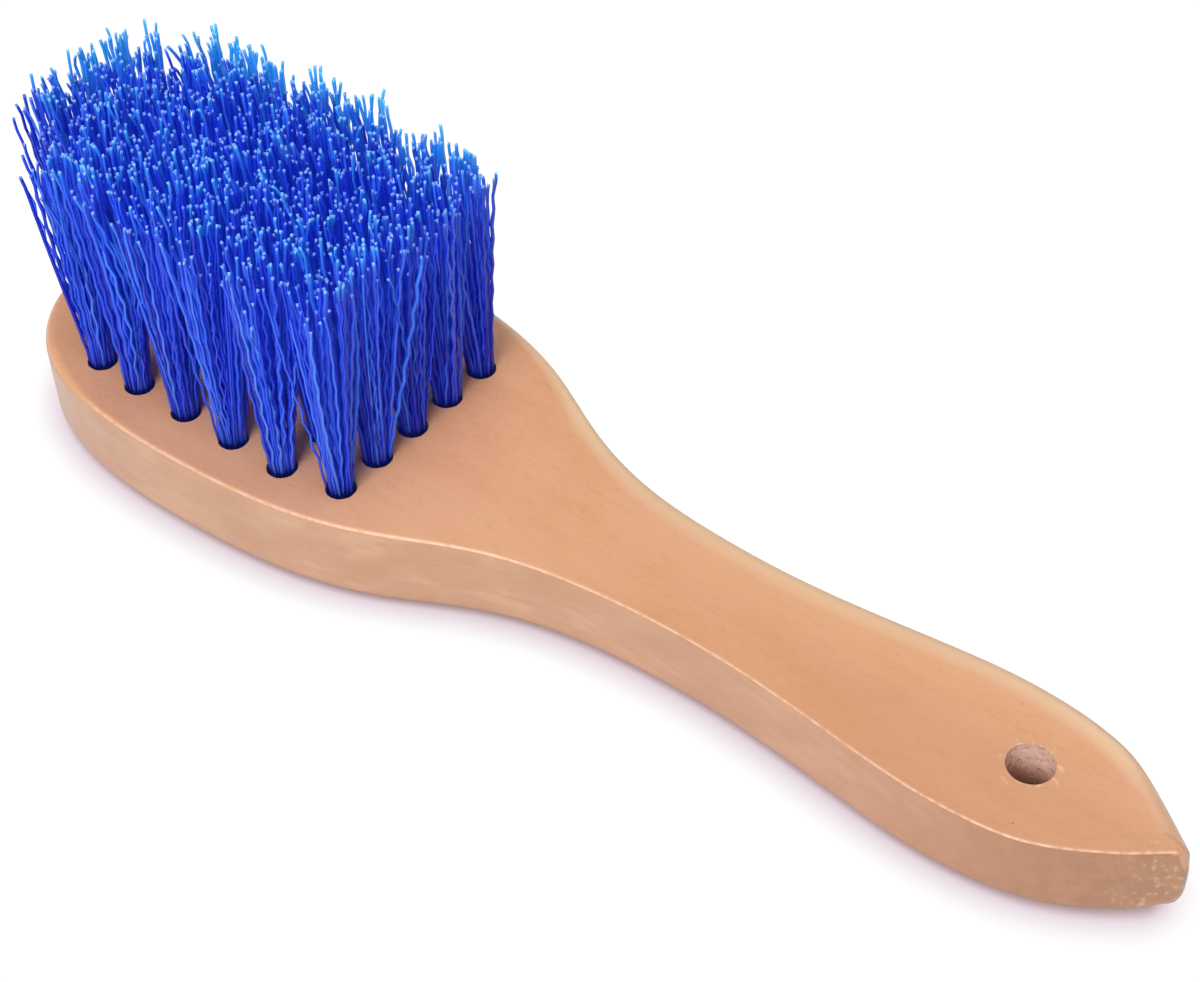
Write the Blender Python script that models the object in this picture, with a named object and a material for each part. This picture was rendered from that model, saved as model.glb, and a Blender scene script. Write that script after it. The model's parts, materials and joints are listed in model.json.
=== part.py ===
"""Hoof brush: a one-piece wooden head and handle, set with tufts of crimped plastic filament.

Each tuft is folded round a flat wire anchor at the bottom of its own blind hole. Lengths are in
metres and +Z is up. The origin is on the flat underside, below the middle of the tuft columns.
+X runs along the handle to its nose, and the bristles point up.
"""

import math

import bmesh
import bpy
import numpy as np
from mathutils import Matrix, Vector
from mathutils.geometry import delaunay_2d_cdt, interpolate_bezier

# Block: lengths along it, from the head's round end to the nose
HEAD_ROUND = 0.0470
SHOULDER_LENGTH = 0.1060
GRIP_LENGTH = 0.0494
NOSE_LENGTH = 0.0392

# Block: widths, and how the nose closes
HEAD_WIDTH = 0.0682
NECK_WIDTH = 0.0235
GRIP_WIDTH = 0.0315
NOSE_RADIUS = 0.0020
NOSE_ANGLE = math.radians(37)

# Block: fullness of each curve, as shares of the stretch that it runs over
END_FULL_SHARE = 0.81
HEAD_FULL_SHARE = 0.54
SHOULDER_OUT_SHARE = 0.62
SHOULDER_IN_SHARE = 0.57
NECK_OUT_SHARE = 0.38
GRIP_IN_SHARE = 0.25
GRIP_OUT_SHARE = 0.55
NOSE_IN_SHARE = 0.36

# Block: thickness, and where the top steps down from the head to the handle
HEAD_THICKNESS = 0.0184
HANDLE_THICKNESS = 0.0167
STEP_START = 0.0897
STEP_LENGTH = 0.0429

# Block: rounded edges, the top one falling away at the nose
BOTTOM_EDGE = 0.0035
BOTTOM_EDGE_AT_NOSE = 0.0044
TOP_EDGE = 0.0011
TOP_EDGE_AT_END = 0.0026
NOSE_SET_BACK = 0.0027
NOSE_DROP = 0.0080
NOSE_BLEND = 0.0122
NOSE_TURN_SHARE = 0.22
NOSE_POINT_SHARE = 0.25

# Hanging hole
HANG_HOLE_RADIUS = 0.0042
HANG_HOLE_FROM_NOSE = 0.0290

# Tuft field: columns across the head, counted from its round end
COLUMN_PITCH = 0.0121
ROW_PITCH = 0.0110
FIRST_COLUMN = 0.0107
FIELD_OFFSET = -0.0016
TUFTS_IN_COLUMN = (3, 5, 5, 5, 5, 5, 5)
END_BOW = 0.0016
BOW_SHARES = (1, 1, 0, 0, 0, 0, 0)
ROW_PITCH_SHARES = (0.94, 0.97, 1.0, 1.0, 1.0, 1.0, 0.89)

# One tuft: its foot in the hole, its length above the head, and how it spreads
TUFT_RADIUS = 0.00265
HOLE_DEPTH = 0.0120
BRISTLE_LENGTH = 0.0425
TRIM_VARIATION = 0.0035
STRAY_LENGTH = 0.0030
CRIMP = 0.0002
UPRIGHT_AT = 0.0250
FIELD_SPREAD_X_SHARE = 0.07
FIELD_SPREAD_Y_SHARE = 0.10
FAN_SHARE = 1.0
KNEE_HEIGHT_SHARE = 0.48
FAN_CURVE_SHARE = 1.25
KNEE_SIZE_SHARE = 0.88
TIP_SIZE_SHARE = 0.90
STRAY_SHARE = 0.07
CORE_RADIUS_SHARE = 0.45
CORE_STRANDS = 3

# Flat wire anchor that the tuft is folded round
ANCHOR_LENGTH = 0.0070
ANCHOR_HEIGHT = 0.0022
ANCHOR_THICKNESS = 0.0005
FOLD_THICKNESS = 0.0013
ANCHOR_TURN = math.radians(45)

# Fit, cutting and smoothness
CLEARANCE = 0.0003
CUT_OVERRUN = 0.0020
SAME_POINT = 0.0001
TUFT_SIDES = 10
HOLE_SIDES = 12
HANG_HOLE_SIDES = 24
CURVE_STEPS = (13, 12, 8, 8)
NOSE_STEPS = 4
BOTTOM_EDGE_STEPS = 4
TOP_EDGE_STEPS = 3
SMOOTH_ANGLE = math.radians(35)
TRIM_SEED = 7

# Places that follow from the sizes, measured from the head's round end
NECK_AT = HEAD_ROUND + SHOULDER_LENGTH
GRIP_AT = NECK_AT + GRIP_LENGTH
OVERALL_LENGTH = GRIP_AT + NOSE_LENGTH
ORIGIN_AT = FIRST_COLUMN + COLUMN_PITCH * (len(TUFTS_IN_COLUMN) - 1) / 2

WOOD = dict(colour=(0.74, 0.42, 0.235), roughness=0.42, metallic=0.0)
FILAMENT = dict(colour=(0.012, 0.055, 0.58), roughness=0.38, metallic=0.0)


def clear_scene():
    """Remove every object that the scene holds."""
    for old in list(bpy.data.objects):
        bpy.data.objects.remove(old, do_unlink=True)


def new_collection(name):
    """A collection linked to the scene."""
    made = bpy.data.collections.new(name)
    bpy.context.scene.collection.children.link(made)
    return made


def new_material(name, colour, roughness, metallic):
    """A Principled material of one finish."""
    made = bpy.data.materials.new(name)
    made.use_nodes = True
    shader = made.node_tree.nodes["Principled BSDF"]
    shader.inputs["Base Color"].default_value = (*colour, 1.0)
    shader.inputs["Roughness"].default_value = roughness
    shader.inputs["Metallic"].default_value = metallic
    made.diffuse_color = (*colour, 1.0)
    return made


def new_object(name, mesh, group):
    """An object that holds a mesh, linked to a collection."""
    made = bpy.data.objects.new(name, mesh)
    group.objects.link(made)
    return made


def mesh_from(bm, name):
    """A mesh that takes over what a bmesh holds."""
    mesh = bpy.data.meshes.new(name)
    bm.to_mesh(mesh)
    bm.free()
    return mesh


def as_helper(obj):
    """Mark a cutter or other helper, so that it is drawn as wire and left out of a render."""
    obj.hide_render = True
    obj.display_type = "WIRE"


def drum_mesh(name, radius, low, high, sides):
    """A closed cylinder about Z from one height to another."""
    bm = bmesh.new()
    middle = Matrix.Translation((0, 0, (low + high) / 2))
    bmesh.ops.create_cone(
        bm, cap_ends=True, segments=sides, radius1=radius, radius2=radius, depth=high - low, matrix=middle
    )
    return mesh_from(bm, name)


def bar_mesh(name, length, thickness, low, high, turn):
    """A closed bar across Z from one height to another, turned about Z."""
    bm = bmesh.new()
    sized = Matrix.Diagonal((length, thickness, high - low, 1.0))
    placed = Matrix.Translation((0, 0, (low + high) / 2)) @ Matrix.Rotation(turn, 4, "Z")
    bmesh.ops.create_cube(bm, size=1.0, matrix=placed @ sized)
    return mesh_from(bm, name)


def fused_mesh(name, first, second, group):
    """One closed mesh made of two overlapping ones."""
    body = new_object(name + "_body", first, group)
    other = new_object(name + "_other", second, group)
    union = body.modifiers.new("union", "BOOLEAN")
    union.operation = "UNION"
    union.solver = "EXACT"
    union.object = other
    graph = bpy.context.evaluated_depsgraph_get()
    fused = bpy.data.meshes.new_from_object(body.evaluated_get(graph))
    fused.name = name
    for used in (body, other):
        bpy.data.objects.remove(used, do_unlink=True)
    return fused


def smooth_step(value, start, length):
    """0 before start, 1 past start + length, and an S-curve between."""
    share = np.clip((value - start) / length, 0.0, 1.0)
    return share * share * (3.0 - 2.0 * share)


def thickness_at(x):
    """Height of the block's top face at a distance from the head's end."""
    drop = HEAD_THICKNESS - HANDLE_THICKNESS
    return HEAD_THICKNESS - drop * smooth_step(x, STEP_START, STEP_LENGTH)


def half_outline():
    """The block's outline on its +Y side, from the head's end to the nose, as an (n, 2) array."""
    head, neck, grip = HEAD_WIDTH / 2, NECK_WIDTH / 2, GRIP_WIDTH / 2
    nose_start = OVERALL_LENGTH - NOSE_RADIUS * (1 - math.sin(NOSE_ANGLE))
    nose_half = NOSE_RADIUS * math.cos(NOSE_ANGLE)
    nose_run = nose_start - GRIP_AT
    curves = (
        ((0, 0), (0, END_FULL_SHARE * head), (HEAD_ROUND * (1 - HEAD_FULL_SHARE), head), (HEAD_ROUND, head)),
        (
            (HEAD_ROUND, head),
            (HEAD_ROUND + SHOULDER_OUT_SHARE * SHOULDER_LENGTH, head),
            (NECK_AT - SHOULDER_IN_SHARE * SHOULDER_LENGTH, neck),
            (NECK_AT, neck),
        ),
        (
            (NECK_AT, neck),
            (NECK_AT + NECK_OUT_SHARE * GRIP_LENGTH, neck),
            (GRIP_AT - GRIP_IN_SHARE * GRIP_LENGTH, grip),
            (GRIP_AT, grip),
        ),
        (
            (GRIP_AT, grip),
            (GRIP_AT + GRIP_OUT_SHARE * nose_run, grip),
            (
                nose_start - NOSE_IN_SHARE * nose_run * math.cos(NOSE_ANGLE),
                nose_half + NOSE_IN_SHARE * nose_run * math.sin(NOSE_ANGLE),
            ),
            (nose_start, nose_half),
        ),
    )
    points = [(0.0, 0.0)]
    for knots, steps in zip(curves, CURVE_STEPS):
        sampled = interpolate_bezier(*(Vector((*knot, 0)) for knot in knots), steps + 1)
        points += [tuple(point.xy) for point in sampled[1:]]
    for step in range(1, NOSE_STEPS + 1):
        angle = (math.pi / 2 - NOSE_ANGLE) * (1 - step / NOSE_STEPS)
        x = OVERALL_LENGTH - NOSE_RADIUS * (1 - math.cos(angle))
        points.append((x, NOSE_RADIUS * math.sin(angle)))
    return np.array(points)


def outward_normals(half):
    """Unit normals of the half outline, pointing out of the block, square to its mirror line at both ends."""
    mirrored = np.array([(1, -1)])
    looped = np.concatenate([half[1:2] * mirrored, half, half[-2:-1] * mirrored])
    along = looped[2:] - looped[:-2]
    normals = np.column_stack([-along[:, 1], along[:, 0]])
    return normals / np.linalg.norm(normals, axis=1, keepdims=True)


def drawn_in(half, normals, inset):
    """The half outline drawn in by an inset, which draws the narrow nose back along the handle."""
    x, y = half.T
    at_nose = smooth_step(x, OVERALL_LENGTH - NOSE_BLEND, NOSE_BLEND)
    back = normals[:, 0] + (1 - normals[:, 0]) * at_nose
    across = np.maximum(y - inset * normals[:, 1], NOSE_POINT_SHARE * y)
    return np.column_stack([x - inset * back, across])


def block_rings():
    """Rings of the +Y half, from the underside's edge round the side to the top's edge."""
    half = half_outline()
    normals = outward_normals(half)
    x = half[:, 0]
    to_end = smooth_step(normals[:, 0], NOSE_TURN_SHARE, 1 - NOSE_TURN_SHARE)
    to_end = to_end * smooth_step(x, GRIP_AT, NOSE_LENGTH - NOSE_BLEND)
    top = TOP_EDGE_AT_END + (TOP_EDGE - TOP_EDGE_AT_END) * smooth_step(x, 0, HEAD_ROUND)
    set_back = top + (NOSE_SET_BACK - top) * to_end
    drop = top + (NOSE_DROP - top) * to_end
    bottom = BOTTOM_EDGE + (BOTTOM_EDGE_AT_NOSE - BOTTOM_EDGE) * smooth_step(x, GRIP_AT, NOSE_LENGTH)
    rings = []
    for step in range(BOTTOM_EDGE_STEPS + 1):
        angle = math.pi / 2 * step / BOTTOM_EDGE_STEPS
        place = drawn_in(half, normals, bottom * (1 - math.sin(angle)))
        height = bottom * (1 - math.cos(angle))
        rings.append(np.column_stack([place, height]))
    for step in range(TOP_EDGE_STEPS + 1):
        angle = math.pi / 2 * step / TOP_EDGE_STEPS
        place = drawn_in(half, normals, set_back * (1 - math.cos(angle)))
        height = thickness_at(place[:, 0]) - drop * (1 - math.sin(angle))
        rings.append(np.column_stack([place, height]))
    return rings


def closed_ring(bm, ring):
    """Vertices of a whole ring: the +Y half out to the nose, and its mirror image back."""
    there = [bm.verts.new(point) for point in ring]
    back = [bm.verts.new((x, -y, z)) for x, y, z in ring[-2:0:-1]]
    return there + back


def span_face(bm, ring, station):
    """The face across the block between one station of its outline and the next."""
    far, further = -station, -station - 1
    corners = (ring[station], ring[station + 1], ring[further], ring[far])
    return bm.faces.new(list(dict.fromkeys(corners)))


def block_mesh():
    """The bare block: rings lofted round its edge, closed by its flat underside and its top."""
    bm = bmesh.new()
    outlines = block_rings()
    stations = len(outlines[0])
    rings = [closed_ring(bm, outline) for outline in outlines]
    for low, high in zip(rings, rings[1:]):
        for here in range(len(low)):
            there = (here + 1) % len(low)
            bm.faces.new((low[here], low[there], high[there], high[here]))
    underside = [span_face(bm, rings[0], station) for station in range(stations - 1)]
    top = [span_face(bm, rings[-1], station) for station in range(stations - 1)]
    bmesh.ops.recalc_face_normals(bm, faces=bm.faces)
    spans = [sorted(corner.co.x for corner in face.verts) for face in top]
    head = [face for face, span in zip(top, spans) if span[-1] <= STEP_START]
    handle = [face for face, span in zip(top, spans) if span[0] >= STEP_START + STEP_LENGTH]
    for flat in (underside, head, handle):
        bmesh.ops.dissolve_faces(bm, faces=flat)
    return mesh_from(bm, "block_blank")


def tuft_places():
    """Each tuft's name, place on the head, and row pitch."""
    places = []
    columns = len(TUFTS_IN_COLUMN)
    layout = zip(TUFTS_IN_COLUMN, ROW_PITCH_SHARES, BOW_SHARES)
    for column, (count, pitch_share, bow_share) in enumerate(layout):
        x = COLUMN_PITCH * (column - (columns - 1) / 2)
        pitch = ROW_PITCH * pitch_share
        for row in range(count):
            from_middle = row - (count - 1) / 2
            bow = END_BOW * bow_share * (2 * from_middle / (count - 1)) ** 2
            name = f"tuft_column{column + 1}_row{row + 1}"
            places.append((name, x + bow, pitch * from_middle, pitch))
    return places


def hole_mesh(group):
    """The cutter of one tuft hole, with the pocket that the anchor's ends bite into."""
    bottom = HEAD_THICKNESS - HOLE_DEPTH
    radius = (TUFT_RADIUS + CLEARANCE) / math.cos(math.pi / HOLE_SIDES)
    hole = drum_mesh("hole", radius, bottom, HEAD_THICKNESS + CUT_OVERRUN, HOLE_SIDES)
    anchor_low = bottom + CLEARANCE + FOLD_THICKNESS
    pocket = bar_mesh(
        "pocket",
        ANCHOR_LENGTH + 2 * CLEARANCE,
        ANCHOR_THICKNESS + 2 * CLEARANCE,
        anchor_low - CLEARANCE,
        anchor_low + ANCHOR_HEIGHT + CLEARANCE,
        ANCHOR_TURN,
    )
    return fused_mesh("tuft_hole", hole, pocket, group)


def foot_mesh(group):
    """A tuft's packed foot in its hole, with the anchor that it is folded round."""
    bottom = HEAD_THICKNESS - HOLE_DEPTH + CLEARANCE
    foot = drum_mesh("foot", TUFT_RADIUS, bottom, HEAD_THICKNESS, TUFT_SIDES)
    anchor_low = bottom + FOLD_THICKNESS
    anchor = bar_mesh(
        "anchor", ANCHOR_LENGTH, ANCHOR_THICKNESS, anchor_low, anchor_low + ANCHOR_HEIGHT, ANCHOR_TURN
    )
    return fused_mesh("tuft_foot", foot, anchor, group)


def split_mouth(bm, turn):
    """Divide the foot's top face into one three-sided cell for each strand."""
    mouth = max(bm.faces, key=lambda face: face.calc_center_median().z)
    rim = list(mouth.verts)
    bmesh.ops.delete(bm, geom=[mouth], context="FACES_ONLY")
    core_radius = CORE_RADIUS_SHARE * TUFT_RADIUS
    core = []
    for strand in range(CORE_STRANDS):
        angle = turn + math.tau * strand / CORE_STRANDS
        place = (core_radius * math.cos(angle), core_radius * math.sin(angle), HEAD_THICKNESS)
        core.append(bm.verts.new(place))
    corners = rim + core
    edges = [(here, (here + 1) % len(rim)) for here in range(len(rim))]
    flat = [corner.co.xy for corner in corners]
    _, _, cells, sources, _, _ = delaunay_2d_cdt(flat, edges, [], 1, SAME_POINT)
    return [bm.faces.new([corners[sources[index][0]] for index in cell]) for cell in cells]


def strand_section(base, centre, height, x, y, pitch, size, crimp):
    """Corners of a strand's section at a height: fanned from the tuft's axis, leaning with the field."""
    share = (height / BRISTLE_LENGTH) ** FAN_CURVE_SHARE
    fan_x = FAN_SHARE * COLUMN_PITCH * (1 + FIELD_SPREAD_X_SHARE) / (2 * TUFT_RADIUS)
    fan_y = FAN_SHARE * pitch * (1 + FIELD_SPREAD_Y_SHARE) / (2 * TUFT_RADIUS)
    moved = Vector((
        centre.x * (1 + (fan_x - 1) * share) + FIELD_SPREAD_X_SHARE * (x - UPRIGHT_AT) * share + crimp[0],
        centre.y * (1 + (fan_y - 1) * share) + FIELD_SPREAD_Y_SHARE * y * share + crimp[1],
        HEAD_THICKNESS + height,
    ))
    return [moved + (corner - centre) * size for corner in base]


def grow_strand(bm, cell, x, y, pitch, rng):
    """Extrude one cell to the strand's knee and on to its trimmed tip."""
    base = [corner.co.copy() for corner in cell.verts]
    centre = sum(base, Vector()) / len(base)
    length = BRISTLE_LENGTH - TRIM_VARIATION * rng.random()
    if rng.random() < STRAY_SHARE:
        length += STRAY_LENGTH * rng.random()
    bend = rng.uniform(-CRIMP, CRIMP, 2)
    knee = length * KNEE_HEIGHT_SHARE
    for height, size, crimp in ((knee, KNEE_SIZE_SHARE, bend), (length, TIP_SIZE_SHARE, -bend)):
        grown = bmesh.ops.extrude_discrete_faces(bm, faces=[cell])
        cell = grown["faces"][0]
        section = strand_section(base, centre, height, x, y, pitch, size, crimp)
        for corner, place in zip(cell.verts, section):
            corner.co = place


def tuft_mesh(name, foot, x, y, pitch, rng):
    """One tuft: its foot and anchor, and the strands that stand on it."""
    bm = bmesh.new()
    bm.from_mesh(foot)
    for cell in split_mouth(bm, rng.uniform(0, math.tau)):
        grow_strand(bm, cell, x, y, pitch, rng)
    bmesh.ops.recalc_face_normals(bm, faces=bm.faces)
    return mesh_from(bm, name)


def build_block(group, cutters, parent, finish):
    """The head and handle, drilled for the tufts and for hanging."""
    block = new_object("wooden_block", block_mesh(), group)
    block.location.x = -ORIGIN_AT
    block.parent = parent
    block.data.materials.append(finish)
    hole = hole_mesh(cutters)
    for name, x, y, _ in tuft_places():
        cutter = new_object(name + "_hole", hole, cutters)
        cutter.location = (x, y + FIELD_OFFSET, 0)
    hang = drum_mesh(
        "hang_hole", HANG_HOLE_RADIUS, -CUT_OVERRUN, HANDLE_THICKNESS + CUT_OVERRUN, HANG_HOLE_SIDES
    )
    hanger = new_object("hang_hole", hang, cutters)
    hanger.location.x = OVERALL_LENGTH - HANG_HOLE_FROM_NOSE - ORIGIN_AT
    for cutter in cutters.objects:
        cutter.parent = parent
        as_helper(cutter)
    drilled = block.modifiers.new("drilled", "BOOLEAN")
    drilled.operation = "DIFFERENCE"
    drilled.solver = "EXACT"
    drilled.operand_type = "COLLECTION"
    drilled.collection = cutters
    block.data.shade_smooth()
    block.data.set_sharp_from_angle(angle=SMOOTH_ANGLE)


def build_tufts(group, cutters, parent, finish):
    """Every tuft in its hole, each with its own fan of strands."""
    rng = np.random.default_rng(TRIM_SEED)
    foot = foot_mesh(cutters)
    for name, x, y, pitch in tuft_places():
        tuft = new_object(name, tuft_mesh(name, foot, x, y, pitch, rng), group)
        tuft.location = (x, y + FIELD_OFFSET, 0)
        tuft.parent = parent
        tuft.data.materials.append(finish)


def main():
    """Build the brush."""
    clear_scene()
    pieces = new_collection("hoof_brush")
    cutters = new_collection("hoof_brush_cutters")
    brush = new_object("hoof_brush", None, pieces)
    build_tufts(pieces, cutters, brush, new_material("blue_filament", **FILAMENT))
    build_block(pieces, cutters, brush, new_material("lacquered_wood", **WOOD))


main()
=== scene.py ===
"""Looks of the wooden hoof brush: a lacquered block, crimped filament tufts and a white stage.

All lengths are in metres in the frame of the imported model: +X runs from the head to the nose of the
handle, +Z points up out of the tuft holes, and the origin lies on the underside.
"""

import json
import logging
import math
from dataclasses import dataclass
from enum import Enum
from typing import Any

import bpy
import numpy as np
from bpy.types import Material, Mesh, Node, NodeSocket, NodeTree, Object
from mathutils import Matrix

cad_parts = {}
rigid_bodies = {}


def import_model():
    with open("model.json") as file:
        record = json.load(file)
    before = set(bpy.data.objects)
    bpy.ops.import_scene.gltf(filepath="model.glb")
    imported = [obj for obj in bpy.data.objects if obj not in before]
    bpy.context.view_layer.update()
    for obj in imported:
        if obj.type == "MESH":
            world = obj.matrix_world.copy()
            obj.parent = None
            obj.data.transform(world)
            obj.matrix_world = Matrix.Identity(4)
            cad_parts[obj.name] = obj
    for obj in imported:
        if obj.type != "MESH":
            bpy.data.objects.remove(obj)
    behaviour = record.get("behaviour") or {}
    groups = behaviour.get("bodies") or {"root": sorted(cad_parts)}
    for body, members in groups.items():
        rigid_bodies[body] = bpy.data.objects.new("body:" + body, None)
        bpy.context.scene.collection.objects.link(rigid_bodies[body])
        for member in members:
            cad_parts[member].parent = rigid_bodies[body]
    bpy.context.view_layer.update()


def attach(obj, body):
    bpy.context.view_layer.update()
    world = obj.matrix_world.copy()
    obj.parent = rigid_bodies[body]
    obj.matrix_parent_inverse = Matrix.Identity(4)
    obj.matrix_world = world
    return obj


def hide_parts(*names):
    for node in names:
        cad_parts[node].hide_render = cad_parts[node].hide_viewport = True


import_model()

BODY = "root"
MM = 0.001
FIRST_SEED = 100
WHITE = (1.0, 1.0, 1.0, 1.0)
GRAIN_LOOKS = ("Pale", "Middle", "Dark", "Streaks", "Flecks", "Dashes")

log = logging.getLogger("hoof_brush")


class Slot(Enum):
    """The record's material slots."""

    WOOD = "lacquered_wood"
    FILAMENT = "blue_filament"


class Side(Enum):
    """The two long sides of the block, as the sign of Y."""

    FAR = 1
    NEAR = -1


# Meshes


def mesh_of(name: str, points: np.ndarray, faces: list[np.ndarray], smooth: list[bool]) -> Mesh:
    """Make a mesh from whole arrays.

    Args:
        name: The mesh's name.
        points: Vertex places, of shape (n, 3).
        faces: Arrays of vertex numbers, one face a row, counterclockwise seen from outside.
        smooth: For each of those arrays, whether its faces are shaded smooth.

    Returns:
        The new mesh.
    """
    corners = np.concatenate([part.ravel() for part in faces]).astype(np.int32)
    sides = np.concatenate([np.full(len(part), part.shape[1]) for part in faces])
    mesh = bpy.data.meshes.new(name)
    mesh.vertices.add(len(points))
    mesh.vertices.foreach_set("co", points.astype(np.float32).ravel())
    mesh.loops.add(len(corners))
    mesh.loops.foreach_set("vertex_index", corners)
    mesh.polygons.add(len(sides))
    mesh.polygons.foreach_set("loop_start", (np.cumsum(sides) - sides).astype(np.int32))
    flags = [np.full(len(part), flag) for part, flag in zip(faces, smooth)]
    mesh.polygons.foreach_set("use_smooth", np.concatenate(flags))
    mesh.update(calc_edges=True)
    return mesh


def ring_faces(rings: int, around: int) -> np.ndarray:
    """Number the faces of a closed-round grid.

    Args:
        rings: How many rings of vertices the grid has.
        around: How many vertices each ring has.

    Returns:
        Vertex numbers of shape ((rings - 1) * around, 4). They face outwards where the vertices
        run counterclockwise seen from the last ring.
    """
    row, column = np.mgrid[0 : rings - 1, 0:around]
    following = (column + 1) % around
    here, there = row * around, (row + 1) * around
    corners = [here + column, here + following, there + following, there + column]
    return np.stack(corners, axis=-1).reshape(-1, 4)


def rod_bundle(
    paths: np.ndarray, radius: np.ndarray, spin: np.ndarray, sides: int
) -> tuple[np.ndarray, list[np.ndarray]]:
    """Sweep thin rods along their paths.

    Each ring is a circle's corner points, square to the path there: place = path + radius *
    (cos(angle) * across + sin(angle) * (along x across)), with across square to the path and to Y.

    Args:
        paths: Centre lines, of shape (rods, rings, 3).
        radius: Each rod's radius, of shape (rods,).
        spin: How far each rod's corners are turned about it, of shape (rods,).
        sides: Number of sides of a rod.

    Returns:
        The vertices, of shape (rods * rings * sides, 3), and the faces: those round the rods as
        one array and those across their ends as another.
    """
    rods, rings, _ = paths.shape
    along = np.gradient(paths, axis=1)
    along /= np.linalg.norm(along, axis=2, keepdims=True)
    across = np.cross((0.0, 1.0, 0.0), along)
    across /= np.linalg.norm(across, axis=2, keepdims=True)
    third = np.cross(along, across)
    angle = spin[:, None] + math.tau * np.arange(sides) / sides
    turned_x, turned_y = np.cos(angle)[:, None, :, None], np.sin(angle)[:, None, :, None]
    out = turned_x * across[:, :, None] + turned_y * third[:, :, None]
    points = paths[:, :, None] + radius[:, None, None, None] * out
    wall = ring_faces(rings, sides)
    first = np.arange(sides)[::-1][None]
    last = (rings - 1) * sides + np.arange(sides)[None]
    ends = np.concatenate([first, last])
    start = (np.arange(rods) * rings * sides)[:, None, None]
    return points.reshape(-1, 3), [(wall + start).reshape(-1, 4), (ends + start).reshape(-1, sides)]


def add_attribute(mesh: Mesh, name: str, values: np.ndarray) -> None:
    """Store one number for each vertex of a mesh, for its material to read."""
    mesh.attributes.new(name, "FLOAT", "POINT").data.foreach_set("value", values.astype(np.float32).ravel())


def place_object(name: str, mesh: Mesh, finishes: list[Material]) -> Object:
    """Link a mesh to the scene as an object at the origin.

    Args:
        name: The object's name.
        mesh: Its mesh.
        finishes: The mesh's finishes, in the order of its slots.

    Returns:
        The new object.
    """
    for finish in finishes:
        mesh.materials.append(finish)
    made = bpy.data.objects.new(name, mesh)
    bpy.context.scene.collection.objects.link(made)
    return made


def blend(first: Any, second: Any, share: Any) -> Any:
    """The first value where the share is 0, the second where it is 1."""
    return first + (second - first) * share


def smooth_step(value: np.ndarray, start: float, length: float) -> np.ndarray:
    """0 before start, 1 past start + length, and an S-curve between."""
    share = np.clip((value - start) / length, 0.0, 1.0)
    return share * share * (3.0 - 2.0 * share)


# Shader trees


class Shader:
    """A shader tree that is built node by node."""

    def __init__(self, tree: NodeTree) -> None:
        """Start from a tree."""
        self.tree = tree

    def fill(self, node: Node, inputs: dict) -> None:
        """Link or set a node's inputs.

        Args:
            node: The node.
            inputs: Values or sockets for its inputs, by name or number.
        """
        for key, value in inputs.items():
            if isinstance(value, NodeSocket):
                self.tree.links.new(value, node.inputs[key])
            else:
                node.inputs[key].default_value = value

    def put(self, kind: str, inputs: dict, **settings: Any) -> Any:
        """Add a node.

        Args:
            kind: The node's Blender type, without the word ShaderNode.
            inputs: Values or sockets for its inputs, by name or number.
            settings: Values for its own properties.

        Returns:
            The node's outputs.
        """
        node = self.tree.nodes.new("ShaderNode" + kind)
        for key, value in settings.items():
            setattr(node, key, value)
        self.fill(node, inputs)
        return node.outputs

    def maths(self, operation: str, *values: Any) -> NodeSocket:
        """The result of one Math node."""
        return self.put("Math", dict(enumerate(values)), operation=operation)[0]

    def add(self, first: Any, second: Any) -> NodeSocket:
        """The sum of two values."""
        return self.maths("ADD", first, second)

    def less(self, first: Any, second: Any) -> NodeSocket:
        """The first value less the second."""
        return self.maths("SUBTRACT", first, second)

    def times(self, first: Any, second: Any) -> NodeSocket:
        """The product of two values."""
        return self.maths("MULTIPLY", first, second)

    def most(self, first: Any, second: Any) -> NodeSocket:
        """The greater of two values."""
        return self.maths("MAXIMUM", first, second)

    def mix(self, share: Any, first: Any, second: Any) -> NodeSocket:
        """The blend of two colours by a share."""
        return self.put("Mix", {0: share, 6: first, 7: second}, data_type="RGBA")[2]

    def stretched(self, vector: Any, shares: tuple) -> NodeSocket:
        """A vector with each axis scaled by its share."""
        return self.put("VectorMath", {0: vector, 1: shares}, operation="MULTIPLY")[0]

    def distance(self, place: Any, point: tuple) -> NodeSocket:
        """How far a place is from a point."""
        return self.put("VectorMath", {0: place, 1: point}, operation="DISTANCE")["Value"]

    def axis(self, place: Any, name: str) -> NodeSocket:
        """A place's X, Y or Z."""
        return self.put("SeparateXYZ", {0: place})[name]

    def attribute(self, name: str) -> NodeSocket:
        """The number that a mesh stores under a name."""
        return self.put("Attribute", {}, attribute_name=name)["Fac"]

    def bumped(self, height: Any, depth: float, strength: float) -> NodeSocket:
        """The normal of a face that a height from 0 to 1 raises by up to a depth."""
        return self.put("Bump", {"Strength": strength, "Distance": depth, "Height": height})["Normal"]

    def grained(self, grain: NodeTree, place: Any, looks: tuple) -> Any:
        """The wood grain group's outputs, given its three colours and its three marks' strengths."""
        return self.put("Group", {"Vector": place} | dict(zip(GRAIN_LOOKS, looks)), node_tree=grain)


@dataclass(frozen=True)
class Noise:
    """Soft noise with features of about a size, drawn out where an axis's share is under 1."""

    size: float
    detail: float
    shares: tuple = (1.0, 1.0, 1.0)

    def at(self, s: Shader, place: Any) -> NodeSocket:
        """The noise at a place, from 0 to 1."""
        vector = s.stretched(place, self.shares)
        return s.put("TexNoise", {"Vector": vector, "Scale": 1.0 / self.size, "Detail": self.detail})["Fac"]


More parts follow.
